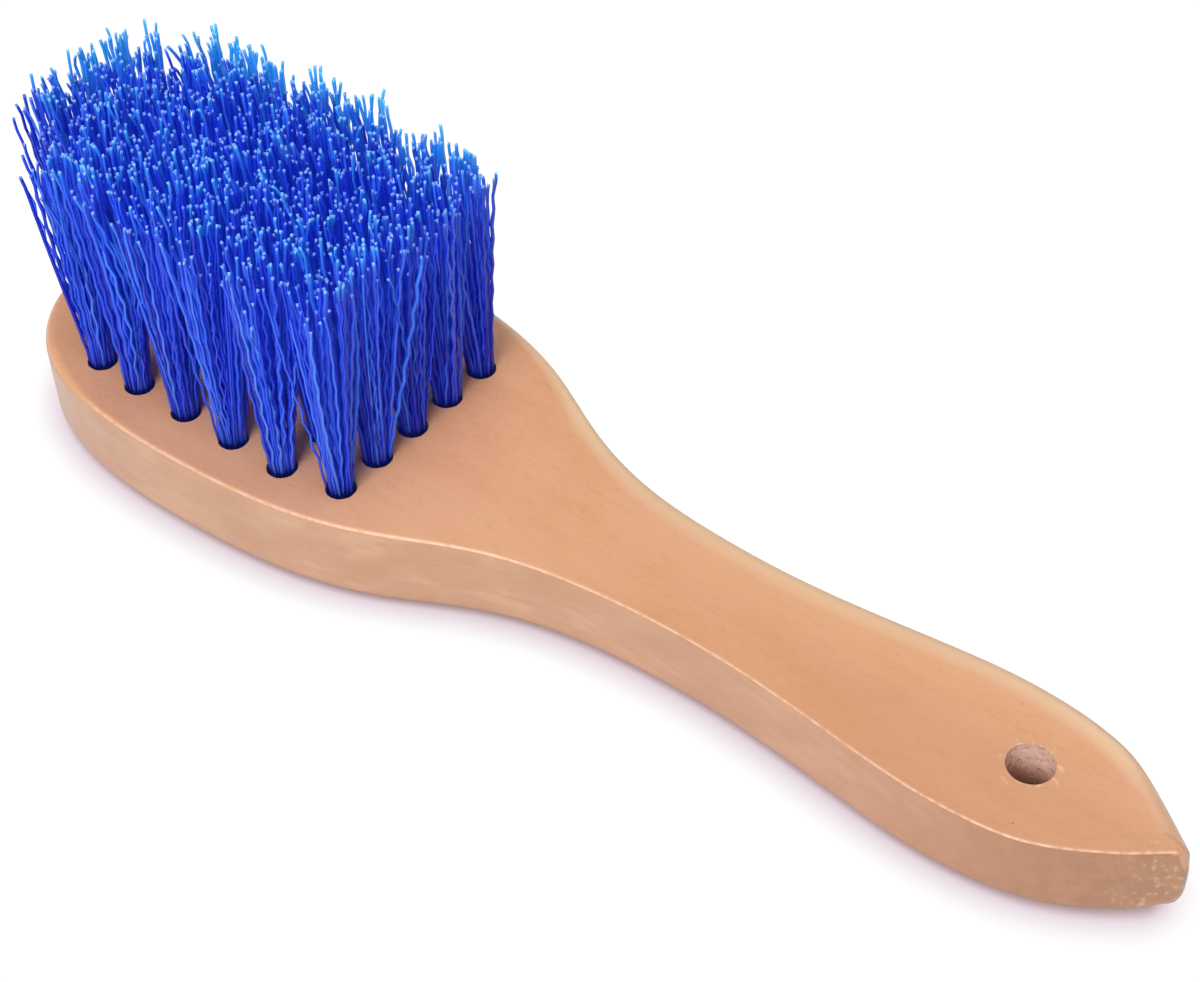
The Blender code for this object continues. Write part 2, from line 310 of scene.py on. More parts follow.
@dataclass(frozen=True)
class Span:
    """The values between which a mark comes or goes along an S-curve, and its share where it is full."""

    low: float
    high: float
    share: float = 1.0

    def rise(self, s: Shader, value: Any) -> NodeSocket:
        """0 where a value is at low or under, and the share at high or over."""
        ends = {0: value, 1: self.low, 2: self.high, 4: self.share}
        return s.put("MapRange", ends, interpolation_type="SMOOTHSTEP")[0]

    def fall(self, s: Shader, value: Any) -> NodeSocket:
        """The share where a value is at low or under, and 0 at high or over."""
        return s.less(self.share, self.rise(s, value))


def new_finish(name: str) -> tuple[Material, Shader, Node, NodeSocket]:
    """Start a finish.

    Args:
        name: The material's name.

    Returns:
        The material, its tree, its Principled shader and the place on the object.
    """
    made = bpy.data.materials.new(name)
    made.use_nodes = True
    s = Shader(made.node_tree)
    return made, s, s.tree.nodes["Principled BSDF"], s.put("TexCoord", {})["Object"]


@dataclass(frozen=True)
class WoodGrain:
    """Grain that runs along X: a broad mottle, dark streaks, short dashes and fine pale fibres."""

    broad: Noise = Noise(34 * MM, 2.0, (0.6, 1.0, 1.0))
    cloud: Noise = Noise(9 * MM, 4.0, (0.5, 1.0, 1.0))
    streak: Noise = Noise(2.2 * MM, 3.0, (0.06, 1.0, 1.0))
    dash: Noise = Noise(0.75 * MM, 2.0, (0.38, 1.0, 1.0))
    fine: Noise = Noise(0.70 * MM, 3.0, (0.6, 1.0, 1.0))
    broad_share: float = 0.55
    cloud_share: float = 0.45
    mottled: Span = Span(0.38, 0.62)
    streaked: Span = Span(0.45, 0.80)
    dark_dashes: Span = Span(0.30, 0.48)
    pale_dashes: Span = Span(0.52, 0.70)
    fibres: Span = Span(0.38, 0.70)
    streak_height: float = 0.3
    fine_height: float = 0.4
    dash_depth: float = 0.25

    def group(self) -> NodeTree:
        """Build the grain that the lacquered faces and the bored walls share.

        Returns:
            A group that reads a place, three colours and the strengths of streaks, dark flecks and
            pale dashes, and gives a colour, a height and a mottle from 0 to 1.
        """
        tree = bpy.data.node_groups.new("wood_grain", "ShaderNodeTree")
        kinds = ("NodeSocketVector", *["NodeSocketColor"] * 3, *["NodeSocketFloat"] * 3)
        for label, kind in zip(("Vector", *GRAIN_LOOKS), kinds):
            tree.interface.new_socket(label, in_out="INPUT", socket_type=kind)
        for label, kind in zip(("Colour", "Height", "Mottle"), kinds[3:]):
            tree.interface.new_socket(label, in_out="OUTPUT", socket_type=kind)
        given = tree.nodes.new("NodeGroupInput").outputs
        s = Shader(tree)
        noises = (self.broad, self.cloud, self.streak, self.dash, self.fine)
        broad, cloud, streak, dash, fine = (noise.at(s, given["Vector"]) for noise in noises)
        mottle = s.add(s.times(broad, self.broad_share), s.times(cloud, self.cloud_share))
        mottle = self.mottled.rise(s, mottle)
        streak = self.streaked.rise(s, streak)
        dark_dash = self.dark_dashes.fall(s, dash)
        colour = s.mix(mottle, given["Middle"], given["Pale"])
        for mark, strength, tint in (
            (streak, "Streaks", "Dark"),
            (dark_dash, "Flecks", "Dark"),
            (self.pale_dashes.rise(s, dash), "Dashes", "Pale"),
            (self.fibres.rise(s, fine), "Dashes", "Pale"),
        ):
            colour = s.mix(s.times(mark, given[strength]), colour, given[tint])
        raised = s.add(s.times(streak, self.streak_height), s.times(fine, self.fine_height))
        height = s.less(raised, s.times(dark_dash, self.dash_depth))
        s.fill(tree.nodes.new("NodeGroupOutput"), {"Colour": colour, "Height": height, "Mottle": mottle})
        return tree


# Block


@dataclass(frozen=True)
class LacqueredWood:
    """Satin lacquer over sanded hardwood.

    The long sides show duller end grain, with painted shade towards the underside and the head's end. The
    near half of the top darkens towards the nose, where the sides carry painted shade mottled with dirt
    blotches. The near top edge carries a painted highlight and the far edge a painted sheen, and the nose and
    the hole's mouth are worn.
    """

    pale: tuple = (0.820, 0.425, 0.228, 1.0)
    middle: tuple = (0.765, 0.365, 0.183, 1.0)
    dark: tuple = (0.500, 0.200, 0.095, 1.0)
    side: tuple = (0.560, 0.318, 0.203, 1.0)
    side_pale: tuple = (0.670, 0.405, 0.265, 1.0)
    side_dark: tuple = (0.430, 0.205, 0.105, 1.0)
    # Colour of the painted shade on the sides towards the nose, mottled by dirt blotches.
    grime_and_shade: tuple = (0.400, 0.190, 0.102, 1.0)
    # Pale colour of the painted highlight on the near top edge, and of the worn chips and nicks.
    rubbed_and_highlight: tuple = (0.930, 0.640, 0.480, 1.0)
    # Colour of the painted sheen along the broad far edge.
    far_sheen: tuple = (0.930, 0.660, 0.400, 1.0)
    speck: tuple = (0.16, 0.07, 0.05, 1.0)
    marks: tuple = (0.10, 0.12, 0.30)
    smudge: Noise = Noise(7 * MM, 4.0, (0.5, 0.7, 1.0))
    pale_smudges: Span = Span(0.50, 0.66, 0.6)
    dark_smudges: Span = Span(0.34, 0.52, 0.40)
    line: Noise = Noise(1.3 * MM, 3.0, (0.16, 0.24, 1.0))
    dark_lines: Span = Span(0.30, 0.60, 0.30)
    # Painted shade: the sides darken towards the underside and towards the head's end.
    underside: Span = Span(0.0, 6 * MM, 0.22)
    head_end_shade: Span = Span(-45 * MM, -5 * MM, 0.50)
    side_share: float = 0.80
    nose_height: float = 9 * MM
    # The near half of the top darkens towards the nose; the far half is mostly spared.
    nose_darkening: Span = Span(10 * MM, 150 * MM, 0.40)
    darkening_far_limit: Span = Span(-4 * MM, 8 * MM, 0.80)
    nose_side_shade: Span = Span(10 * MM, 62 * MM)
    blotch: Noise = Noise(3.0 * MM, 4.0)
    grime_blotches: Span = Span(0.35, 0.65, 0.30)
    nose_shade_share: float = 0.60
    far_sheen_share: float = 0.60
    ragged: Noise = Noise(1.2 * MM, 3.0)
    ragged_edge: Span = Span(0.28, 0.62)
    edge_highlight: Span = Span(0.60, 1.0, 0.60)
    chip: Noise = Noise(1.5 * MM, 3.0)
    hole_chips: Span = Span(0.54, 0.64)
    by_hole: Span = Span(4.3 * MM, 6.4 * MM, 0.50)
    nick: Noise = Noise(1.3 * MM, 5.0)
    nose_nicks: Span = Span(0.50, 0.80)
    by_nose: Span = Span(7 * MM, 16 * MM, 0.50)
    speck_spacing: float = 11 * MM
    specks: Span = Span(0.012, 0.026, 0.55)
    roughness: float = 0.38
    mottle_roughness: float = 0.08
    coat: float = 0.25
    coat_roughness: float = 0.22
    grain_depth: float = 0.00004
    grain_strength: float = 0.35

    def material(self, grain: NodeTree, hole_x: float, nose_x: float) -> Material:
        """Build the finish.

        Args:
            grain: The wood grain group.
            hole_x: Where the hanging hole's axis lies along X.
            nose_x: Where the nose ends along X.

        Returns:
            The material.
        """
        made, s, shader, place = new_finish("lacquered_wood")
        wood = s.grained(grain, place, (self.pale, self.middle, self.dark, *self.marks))
        side = s.attribute("side")
        smudge = self.smudge.at(s, place)
        line = self.line.at(s, place)
        side_colour = s.mix(self.pale_smudges.rise(s, smudge), self.side, self.side_pale)
        drawn = s.most(self.dark_smudges.fall(s, smudge), self.dark_lines.fall(s, line))
        # Painted shade: the side darkens towards the underside and the head's end, mixed into side_dark with
        # the real smudges and lines.
        low = self.underside.fall(s, s.axis(place, "Z"))
        ends = s.most(low, self.head_end_shade.fall(s, s.axis(place, "X")))
        side_colour = s.mix(s.most(drawn, ends), side_colour, self.side_dark)
        sided = s.mix(s.times(side, self.side_share), wood["Colour"], side_colour)
        from_nose = s.distance(place, (nose_x, 0.0, self.nose_height))
        # The near half of the top darkens towards the nose.
        near_half = s.less(1.0, self.darkening_far_limit.rise(s, s.axis(place, "Y")))
        nose_darkening = s.times(self.nose_darkening.fall(s, from_nose), near_half)
        darkened = s.mix(nose_darkening, sided, self.dark)
        # Painted shade: the sides darken towards the nose, mottled by dirt blotches.
        blotches = self.grime_blotches.rise(s, self.blotch.at(s, place))
        nose_side_shade = s.times(self.nose_side_shade.fall(s, from_nose), side)
        shade_and_grime = s.times(nose_side_shade, s.add(self.nose_shade_share, blotches))
        shaded_and_grimed = s.mix(shade_and_grime, darkened, self.grime_and_shade)
        # Painted sheen: the broad far edge is paler, as where it catches the back light.
        far_sheen_mask = s.times(s.attribute("far_edge"), self.far_sheen_share)
        sheened = s.mix(far_sheen_mask, shaded_and_grimed, self.far_sheen)
        # Painted highlight: a pale, ragged line along the near top edge.
        ragged = self.ragged_edge.rise(s, self.ragged.at(s, place))
        edge_highlight_mask = s.times(self.edge_highlight.rise(s, s.attribute("edge")), ragged)
        highlighted = s.mix(edge_highlight_mask, sheened, self.rubbed_and_highlight)
        from_hole = s.distance(s.stretched(place, (1.0, 1.0, 0.0)), (hole_x, 0.0, 0.0))
        chips = self.hole_chips.rise(s, self.chip.at(s, place))
        nicks = self.nose_nicks.rise(s, self.nick.at(s, place))
        chips = s.times(self.by_hole.fall(s, from_hole), chips)
        nicks = s.times(self.by_nose.fall(s, from_nose), nicks)
        chipped = s.mix(s.most(chips, nicks), highlighted, self.rubbed_and_highlight)
        cells = s.put("TexVoronoi", {"Vector": place, "Scale": 1 / self.speck_spacing})
        specks = self.specks.fall(s, cells["Distance"])
        mottle = s.times(wood["Mottle"], self.mottle_roughness)
        s.fill(shader, {
            "Base Color": s.mix(specks, chipped, self.speck),
            "Roughness": s.add(self.roughness, mottle),
            "Coat Weight": self.coat,
            "Coat Roughness": self.coat_roughness,
            "Normal": s.bumped(wood["Height"], self.grain_depth, self.grain_strength),
        })
        return made


@dataclass(frozen=True)
class BoredWood:
    """Bare, rough wood inside the bored holes, with painted shade that deepens towards the underside."""

    pale: tuple = (0.88, 0.61, 0.50, 1.0)
    middle: tuple = (0.74, 0.45, 0.34, 1.0)
    dark: tuple = (0.36, 0.15, 0.085, 1.0)
    marks: tuple = (0.6, 0.8, 0.4)
    torn: Noise = Noise(0.7 * MM, 4.0, (1.0, 1.0, 0.3))
    tears: Span = Span(0.35, 0.7)
    deep_shade: Span = Span(7 * MM, 13 * MM, 0.65)
    roughness: float = 0.85
    torn_roughness: float = 0.1
    tear_depth: float = 0.0003
    tear_strength: float = 0.8

    def material(self, grain: NodeTree) -> Material:
        """Build the finish.

        Args:
            grain: The wood grain group.

        Returns:
            The material.
        """
        made, s, shader, place = new_finish("bored_wood")
        wood = s.grained(grain, place, (self.pale, self.middle, self.dark, *self.marks))
        torn = self.torn.at(s, place)
        colour = s.mix(self.tears.rise(s, torn), wood["Colour"], self.pale)
        rough = s.add(torn, wood["Height"])
        # Painted shade: the walls darken towards the underside.
        deep_shade = self.deep_shade.fall(s, s.axis(place, "Z"))
        s.fill(shader, {
            "Base Color": s.mix(deep_shade, colour, self.dark),
            "Roughness": s.add(self.roughness, s.times(torn, self.torn_roughness)),
            "Normal": s.bumped(rough, self.tear_depth, self.tear_strength),
        })
        return made


@dataclass(frozen=True)
class TuftField:
    """Where the tufts stand on the head."""

    column_pitch: float = 0.0121
    row_pitch: float = 0.0110
    offset: float = -0.0016
    end_bow: float = 0.0016
    tufts_in_column: tuple = (3, 5, 5, 5, 5, 5, 5)
    bow_shares: tuple = (1, 1, 0, 0, 0, 0, 0)
    pitch_shares: tuple = (0.94, 0.97, 1.0, 1.0, 1.0, 1.0, 0.89)

    def places(self) -> list[tuple[str, float, float]]:
        """Work out the grid of tufts, whose first columns bow with the head's end.

        Returns:
            Each tuft's node name and its place along X and Y.
        """
        listed = []
        for column, count in enumerate(self.tufts_in_column):
            x = self.column_pitch * (column - (len(self.tufts_in_column) - 1) / 2)
            pitch = self.row_pitch * self.pitch_shares[column]
            for row in range(count):
                step = row - (count - 1) / 2
                bow = self.end_bow * self.bow_shares[column] * (2 * step / (count - 1)) ** 2
                listed.append((f"tuft_column{column + 1}_row{row + 1}", x + bow, pitch * step + self.offset))
        return listed


@dataclass(frozen=True)
class Block:
    """The one-piece head and handle.

    The two turns say where the outline's normal counts as the nose's front on each side, as the
    start and length of an S-curve over its X.
    """

    origin_at: float = 0.0470
    head_round: float = 0.0470
    shoulder_length: float = 0.1060
    grip_length: float = 0.0494
    nose_length: float = 0.0392
    head_half: float = 0.0341
    neck_half: float = 0.01175
    grip_half: float = 0.01575
    nose_radius: float = 0.0028
    nose_angle: float = math.radians(37)
    end_pulls: tuple = (0.81, 0.46)
    shoulder_pulls: tuple = (0.62, 0.57)
    grip_pulls: tuple = (0.38, 0.25)
    nose_pulls: tuple = (0.55, 0.36)
    head_thickness: float = 0.0184
    handle_thickness: float = 0.0167
    step_start: float = 0.0897
    step_length: float = 0.0429
    bottom_edge: float = 0.0035
    bottom_edge_at_nose: float = 0.0050
    bottom_edge_at_tip: float = 0.0066
    near_edge_at_head: float = 0.0008
    near_edge_at_handle: float = 0.0006
    far_edge_width: float = 0.0052
    far_edge_drop: float = 0.0014
    rounded_from: float = 0.2
    rounded_over: float = 0.6
    edge_at_end: float = 0.0026
    nose_set_back: float = 0.0027
    nose_drop: float = 0.0080
    nose_blend: float = 0.0080
    near_turn: tuple = (0.66, 0.34)
    far_turn: tuple = (0.30, 0.70)
    nose_lean: float = 0.0010
    nose_lean_start: float = 0.2150
    nose_lean_length: float = 0.0160
    hang_hole_radius: float = 0.0041
    hang_hole_from_nose: float = 0.0290
    hang_hole_flare: float = 0.0001
    tuft_hole_radius: float = 0.00284
    tuft_hole_flare: float = 0.1 * MM
    tuft_hole_depth: float = 0.0120
    flare_depth: float = 0.5 * MM
    bore_unevenness: float = 0.02
    bore_waves: tuple = (5, 3)
    bore_twist: float = 900.0
    bore_sides: int = 48
    bore_rings: int = 9
    overrun: float = 0.0020
    flat_margin: float = 0.0003
    least_half: float = 0.25
    sharp_angle: float = math.radians(32)
    curve_steps: tuple = (56, 64, 36, 36)
    nose_steps: int = 14
    bottom_steps: int = 8
    top_steps: int = 8
    side_rings: int = 4

    @property
    def length(self) -> float:
        """Overall length."""
        return self.head_round + self.shoulder_length + self.grip_length + self.nose_length

    @property
    def hang_hole_x(self) -> float:
        """Place of the hanging hole's axis along X."""
        return self.length - self.hang_hole_from_nose - self.origin_at

    @property
    def nose_x(self) -> float:
        """Place of the nose's end along X."""
        return self.length - self.origin_at

    def half_outline(self) -> np.ndarray:
        """Work out the outline on one side, from the head's end to the nose.

        Four cubic curves, (1-t)^3 p0 + 3 (1-t)^2 t p1 + 3 (1-t) t^2 p2 + t^3 p3, run on into an arc
        round the nose. The pulls give how far p1 and p2 lie from their ends, as shares.

        Returns:
            Distance from the head's end and from the centre line, of shape (n, 2).
        """
        head, neck, grip = self.head_half, self.neck_half, self.grip_half
        neck_at = self.head_round + self.shoulder_length
        grip_at = neck_at + self.grip_length
        nose_at = self.length - self.nose_radius * (1 - math.sin(self.nose_angle))
        nose_half = self.nose_radius * math.cos(self.nose_angle)
        run = nose_at - grip_at
        end, shoulder, hold, nose = self.end_pulls, self.shoulder_pulls, self.grip_pulls, self.nose_pulls
        last = nose[1] * run
        knots = np.array([
            ((0, 0), (0, end[0] * head), (self.head_round * end[1], head), (self.head_round, head)),
            (
                (self.head_round, head),
                (self.head_round + shoulder[0] * self.shoulder_length, head),
                (neck_at - shoulder[1] * self.shoulder_length, neck),
                (neck_at, neck),
            ),
            (
                (neck_at, neck),
                (neck_at + hold[0] * self.grip_length, neck),
                (grip_at - hold[1] * self.grip_length, grip),
                (grip_at, grip),
            ),
            (
                (grip_at, grip),
                (grip_at + nose[0] * run, grip),
                (nose_at - last * math.cos(self.nose_angle), nose_half + last * math.sin(self.nose_angle)),
                (nose_at, nose_half),
            ),
        ])
        stretches = []
        for curve, steps in zip(knots, self.curve_steps):
            t = np.linspace(0, 1, steps + 1)[:-1, None]
            weights = ((1 - t) ** 3, 3 * (1 - t) ** 2 * t, 3 * (1 - t) * t**2, t**3)
            stretches.append(sum(weight * knot for weight, knot in zip(weights, curve)))
        turn = (math.pi / 2 - self.nose_angle) * (1 - np.linspace(0, 1, self.nose_steps + 1))
        arc_x = self.length - self.nose_radius * (1 - np.cos(turn))
        return np.concatenate([*stretches, np.column_stack([arc_x, self.nose_radius * np.sin(turn)])])

    def thickness(self, x: np.ndarray) -> np.ndarray:
        """Height of the top face, which steps down from the head to the handle."""
        drop = self.head_thickness - self.handle_thickness
        return self.head_thickness - drop * smooth_step(x, self.step_start, self.step_length)

    def half_rings(self, side: Side) -> tuple[np.ndarray, np.ndarray]:
        """Work out the block's edge surface on one side.

        The surface is a function of the place along the outline and of an angle round the section:
        the outline drawn in along its normal by inset * (1 - cos(angle)), at a height that falls
        by drop * (1 - sin(angle)) below the top, and the same way round at the underside's edge.
        The near edge is crisp and the far one broad. Both even out round the head's end, and give
        way to a deep, set-back curve where the outline turns across the nose.

        Args:
            side: Which side of the block.

        Returns:
            Places of shape (rings, n, 3), from the underside's edge to the top's edge, and how much
            of the top's edge each one shows, from 0 to 1, of shape (rings, n).
        """
        half = self.half_outline()
        mirrored = np.array([(1, -1)])
        looped = np.concatenate([half[1:2] * mirrored, half, half[-2:-1] * mirrored])
        run = looped[2:] - looped[:-2]
        normals = np.column_stack([-run[:, 1], run[:, 0]])
        normals /= np.linalg.norm(normals, axis=1, keepdims=True)
        x, y = half.T
        grip_at = self.length - self.nose_length
        at_nose = smooth_step(x, self.length - self.nose_blend, self.nose_blend)
        back = blend(normals[:, 0], 1, at_nose)
        from_end = smooth_step(x, 0, self.head_round)
        if side is Side.NEAR:
            turned = self.near_turn
            to_handle = smooth_step(x, self.step_start, self.step_length)
            width = blend(self.near_edge_at_head, self.near_edge_at_handle, to_handle)
            fall = width
            lean = self.nose_lean * smooth_step(x, self.nose_lean_start, self.nose_lean_length)
        else:
            turned = self.far_turn
            widened = smooth_step(x, self.head_round, self.step_start)
            width = blend(self.near_edge_at_head, self.far_edge_width, widened)
            fall = self.far_edge_drop
            lean = 0.0
        to_end = smooth_step(normals[:, 0], *turned)
        to_end = to_end * smooth_step(x, grip_at, self.nose_length - self.nose_blend)
        width = blend(blend(self.edge_at_end, width, from_end), self.nose_set_back, to_end)
        fall = blend(blend(self.edge_at_end, fall, from_end), self.nose_drop, to_end)
        lean = lean * (1 - to_end)
        low = np.linspace(0, math.pi / 2, self.bottom_steps + 1)[:, None]
        high = np.linspace(0, math.pi / 2, self.top_steps + 1)[:, None]
        to_nose = smooth_step(x, grip_at, self.nose_length)
        bottom = blend(self.bottom_edge, self.bottom_edge_at_nose, to_nose)
        bottom = blend(bottom, self.bottom_edge_at_tip, at_nose**2)
        inset = np.concatenate([
            bottom * (1 - np.sin(low)),
            lean + width * (1 - np.cos(high)),
            (lean + width)[None] + self.flat_margin * (1 - to_end),
        ])
        place_x = x - inset * back
        place_y = np.maximum(y - inset * normals[:, 1], self.least_half * y)
        fallen = np.concatenate([fall * (1 - np.sin(high)), 0 * x[None]])
        upper = self.thickness(place_x)[len(low) :] - fallen
        height = np.concatenate([bottom * (1 - np.cos(low)), upper])
        rounded = np.sin(np.pi * np.linspace(0, 1, len(high)))
        round_edge = np.concatenate([np.zeros(len(low)), rounded, [0.0]])[:, None]
        start, length = self.rounded_from * self.head_round, self.rounded_over * self.head_round
        round_edge = round_edge * (1 - to_end) ** 2 * smooth_step(x, start, length)
        return np.stack([place_x - self.origin_at, place_y * side.value, height], axis=-1), round_edge

    def blank(self) -> Mesh:
        """Loft the undrilled block and close it with strips across its underside and top.

        Returns:
            The block's mesh, with the numbers that its finish reads.
        """
        far, far_edge = self.half_rings(Side.FAR)
        near, near_edge = self.half_rings(Side.NEAR)
        rings = np.concatenate([far, near[:, -2:0:-1]], axis=1)
        count, around = rings.shape[:2]
        wall = ring_faces(count, around)[:, ::-1]
        step = np.arange(far.shape[1] - 1)
        mirrored, further = (around - step) % around, around - step - 1
        under = np.stack([step, step + 1, further, mirrored], axis=-1)
        over = under[:, ::-1] + (count - 1) * around
        faces = np.concatenate([wall, under, over])
        corners = [list(dict.fromkeys(face)) for face in faces.tolist()]
        mesh = bpy.data.meshes.new("block_blank")
        mesh.from_pydata(rings.reshape(-1, 3).tolist(), [], corners)
        ring_number = np.repeat(np.arange(count), around)
        # The edge number, which carries the painted highlight, is set on the near side only.
        add_attribute(mesh, "edge", np.concatenate([0 * far_edge, near_edge[:, -2:0:-1]], axis=1))
        add_attribute(mesh, "far_edge", np.pad(far_edge, ((0, 0), (0, near.shape[1] - 2))))
        add_attribute(mesh, "side", ring_number < self.bottom_steps + self.side_rings)
        return mesh

    def bore(self, name: str, axis: tuple, ends: tuple, radius: float, flare: float) -> Object:
        """Make the cutter of one hole: a slightly uneven cylinder that flares at the wood's faces.

        Args:
            name: The cutter's name.
            axis: Place of its axis along X and Y.
            ends: Heights of its lower and its upper end.
            radius: The hole's radius.
            flare: How much wider the hole is at its mouth.

        Returns:
            The cutter, whose faces take the block's second finish.
        """
        (x, y), (low, high) = axis, ends
        sides, rings = self.bore_sides, self.bore_rings
        angle = math.tau * np.arange(sides) / sides
        height = np.linspace(low, high, rings)[:, None]
        mouths = np.array((high - self.overrun, low + self.overrun))
        to_mouth = np.exp(-np.abs(height - mouths) / self.flare_depth).max(axis=1, keepdims=True)
        first, second = self.bore_waves
        swell = self.bore_unevenness * radius * np.sin(first * angle + self.bore_twist * height)
        out = radius + flare * to_mouth + swell * np.cos(second * angle)
        ring = np.stack([x + out * np.cos(angle), y + out * np.sin(angle), height + 0 * out], axis=-1)
        points = np.concatenate([ring.reshape(-1, 3), [(x, y, low), (x, y, high)]])
        here = np.arange(sides)
        there = (here + 1) % sides
        top = (rings - 1) * sides
        centre = np.full(sides, rings * sides)
        faces = ring_faces(rings, sides).tolist()
        faces += np.column_stack([there, here, centre]).tolist()
        faces += np.column_stack([top + here, top + there, centre + 1]).tolist()
        mesh = bpy.data.meshes.new(name)
        mesh.from_pydata(points.tolist(), [], faces)
        mesh.polygons.foreach_set("material_index", np.ones(len(faces), np.int32))
        return bpy.data.objects.new(name, mesh)

    def build(self, field: TuftField, lacquer: Material, bored: Material) -> Object:
        """Build, drill and dress the block.

        Args:
            field: Where the tufts stand.
            lacquer: Finish of the outside.
            bored: Finish of the holes' walls.

        Returns:
            The finished block.
        """
        cutters = bpy.data.collections.new("bores")
        bpy.context.scene.collection.children.link(cutters)
        through = (-self.overrun, self.handle_thickness + self.overrun)
        blind = (self.head_thickness - self.tuft_hole_depth, self.head_thickness + self.overrun)
        hang = ("hanging_bore", (self.hang_hole_x, 0.0), through, self.hang_hole_radius, self.hang_hole_flare)
        cutters.objects.link(self.bore(*hang))
        for name, x, y in field.places():
            hole = self.bore(name + "_bore", (x, y), blind, self.tuft_hole_radius, self.tuft_hole_flare)
            cutters.objects.link(hole)
        block = place_object("wooden_block_visual", self.blank(), [lacquer, bored])
        for cutter in cutters.objects:
            for finish in (lacquer, bored):
                cutter.data.materials.append(finish)
        drilled = block.modifiers.new("drilled", "BOOLEAN")
        drilled.operation = "DIFFERENCE"
        drilled.solver = "EXACT"
        drilled.operand_type = "COLLECTION"
        drilled.collection = cutters
        graph = bpy.context.evaluated_depsgraph_get()
        solid = block.evaluated_get(graph)
        mesh = bpy.data.meshes.new_from_object(solid, preserve_all_data_layers=True, depsgraph=graph)
        block.modifiers.clear()
        block.data = mesh
        for cutter in list(cutters.objects):
            bpy.data.objects.remove(cutter)
        bpy.data.collections.remove(cutters)
        mesh.shade_smooth()
        mesh.set_sharp_from_angle(angle=self.sharp_angle)
        return block


# Tufts


@dataclass(frozen=True)
class Filament:
    """Glossy royal-blue plastic, with painted shade towards the foot and in the hole, painted light through
    the backlit filaments, a painted glint on the trimmed tips and a faint glow that stands for light
    scattered through them.

    The tuft's mesh stores the numbers that it reads: shade, along, cut_glint and open.
    """

    # Near-black painted shade for the parts down in the hole; also the glow's low end.
    foot: tuple = (0.002, 0.003, 0.050, 1.0)
    deep: tuple = (0.005, 0.014, 0.460, 1.0)
    middle: tuple = (0.018, 0.072, 0.810, 1.0)
    bright: tuple = (0.070, 0.225, 0.960, 1.0)
    # Colour of the painted glint on the trimmed tips.
    cut_glint: tuple = (0.340, 0.620, 1.000, 1.0)
    lit_through: tuple = (0.040, 0.480, 0.900, 1.0)
    glow: tuple = (0.002, 0.009, 0.110, 1.0)
    rim_glow: tuple = (0.010, 0.200, 0.300, 1.0)
    cloud: Noise = Noise(1.4 * MM, 2.0, (1.0, 1.0, 0.15))
    cloud_middle: float = 0.5
    cloud_share: float = 0.5
    middle_shades: Span = Span(0.0, 0.55)
    bright_shades: Span = Span(0.55, 1.1)
    # Painted shade towards the filaments' feet.
    foot_shade: Span = Span(0.0, 0.35, 0.22)
    glowing: Span = Span(0.25, 1.0)
    hole_mouth: Span = Span(18.5 * MM, 19.5 * MM)
    roughness: float = 0.36
    cloud_roughness: float = 0.12
    specular: float = 0.45

    def material(self) -> Material:
        """Build the finish.

        Returns:
            The material.
        """
        made, s, shader, place = new_finish("blue_filament")
        along = s.attribute("along")
        lit_through = s.attribute("open")
        cloud = self.cloud.at(s, place)
        clouded = s.times(s.less(cloud, self.cloud_middle), self.cloud_share)
        # Painted light: the shade number holds each filament's random tone plus painted light where the mass
        # faces the fill lamp.
        lightness = s.add(s.attribute("shade"), clouded)
        body = s.mix(self.middle_shades.rise(s, lightness), self.deep, self.middle)
        lit = s.mix(self.bright_shades.rise(s, lightness), body, self.bright)
        # Painted shade: the filaments darken towards their feet.
        foot_shaded = s.mix(self.foot_shade.fall(s, along), lit, self.deep)
        # Painted light through the backlit filaments, read from the open number.
        through_lit = s.mix(lit_through, foot_shaded, self.lit_through)
        # Painted highlight: pale tips that stand for light scattered where the filaments were trimmed.
        tipped = s.mix(s.attribute("cut_glint"), through_lit, self.cut_glint)
        # Painted light: a faint emission stands for light scattered through the filaments, stronger towards
        # the tips and where they are backlit.
        glow = s.mix(self.glowing.rise(s, along), self.foot, self.glow)
        glow = s.mix(lit_through, glow, self.rim_glow)
        # Painted shade: below the hole's mouth the filaments and the fold are near black.
        out_of_hole = self.hole_mouth.rise(s, s.axis(place, "Z"))
        s.fill(shader, {
            "Base Color": s.mix(out_of_hole, self.foot, tipped),
            "Emission Color": s.mix(out_of_hole, self.foot, glow),
            "Emission Strength": 1.0,
            "Roughness": s.add(self.roughness, s.times(cloud, self.cloud_roughness)),
            "Specular IOR Level": self.specular,
        })
        return made


@dataclass(frozen=True)
class AnchorWire:
    """Drawn flat steel wire."""

    colour: tuple = (0.60, 0.60, 0.58, 1.0)
    worn: tuple = (0.42, 0.41, 0.39, 1.0)
    drawn: Noise = Noise(0.1 * MM, 3.0, (0.1, 0.1, 1.0))
    draw_marks: Span = Span(0.35, 0.65)
    roughness: float = 0.35
    drawn_roughness: float = 0.2

    def material(self) -> Material:
        """Build the finish.

        Returns:
            The material.
        """
        made, s, shader, place = new_finish("anchor_wire")
        drawn = self.drawn.at(s, place)
        s.fill(shader, {
            "Base Color": s.mix(self.draw_marks.rise(s, drawn), self.worn, self.colour),
            "Metallic": 1.0,
            "Roughness": s.add(self.roughness, s.times(drawn, self.drawn_roughness)),
        })
        return made


